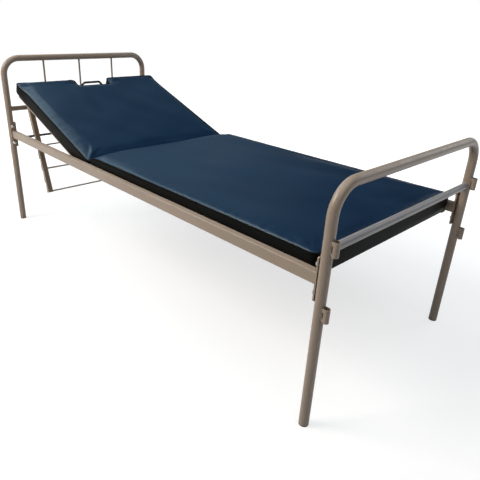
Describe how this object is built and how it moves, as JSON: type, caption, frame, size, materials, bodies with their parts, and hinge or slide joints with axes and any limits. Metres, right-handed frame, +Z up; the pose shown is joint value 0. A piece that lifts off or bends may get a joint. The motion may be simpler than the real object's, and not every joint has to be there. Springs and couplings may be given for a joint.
{
  "type": "hospital bed",
  "caption": "Steel-tube ward bed with two vinyl pads; the backrest tilts up on a hinge and is propped by a notched ladder that hooks on a rod.",
  "frame": {"origin": "on the floor under the middle of the bed", "axes": "+X across the bed, +Y along it from the foot to the head, +Z up"},
  "size_m": [0.912, 2.177, 0.919],
  "materials": {
    "paint": "satin",
    "dark_paint": "satin",
    "pad": "satin",
    "board": "matte",
    "plug": "matte",
    "bolt": "satin"
  },
  "bodies": {
    "frame": {"head_bow": "paint", "foot_bow": "paint", "leg_plugs": "plug", "head_crossbar": "paint", "foot_crossbar": "paint", "head_rod_near": "paint", "head_rod_middle": "paint", "head_rod_far": "paint", "socket_foot_near_upper": "paint", "socket_foot_near_lower": "paint", "socket_foot_far_upper": "paint", "socket_foot_far_lower": "paint", "socket_head_near": "paint", "socket_head_far": "paint", "side_rail_near": "paint", "side_rail_far": "paint", "rail_end_plates": "paint", "corner_bolts": "bolt", "leg_inserts": "bolt", "seat_ledge_near": "paint", "seat_ledge_far": "paint", "seat_cross_flats": "paint", "seat_board": "board", "seat_cushion": "pad", "catch_rod": "dark_paint", "hinge_pins": "bolt"},
    "backrest": {"hinge_ear_near": "paint", "hinge_ear_far": "paint", "back_side_flat_near": "paint", "back_side_flat_far": "paint", "back_head_flat": "paint", "back_middle_flat": "paint", "back_foot_flat": "paint", "back_board": "board", "back_cushion": "pad", "lift_handle": "dark_paint", "ladder_lugs": "paint"},
    "ladder": {"ladder_side_near": "paint", "ladder_side_far": "paint", "ladder_rungs": "paint", "ladder_pivot_rod": "dark_paint"}
  },
  "joints": [
    {"name": "backrest_hinge", "type": "hinge", "parent": "frame", "child": "backrest", "pos_m": [0, 0.302, 0.506], "axis": [1, 0, 0], "range_deg": [0, 26]},
    {"name": "ladder_pivot", "type": "hinge", "parent": "backrest", "child": "ladder", "pos_m": [0, 0.95275, 0.69602], "axis": [-1, 0, 0], "range_deg": [0, 50]}
  ]
}
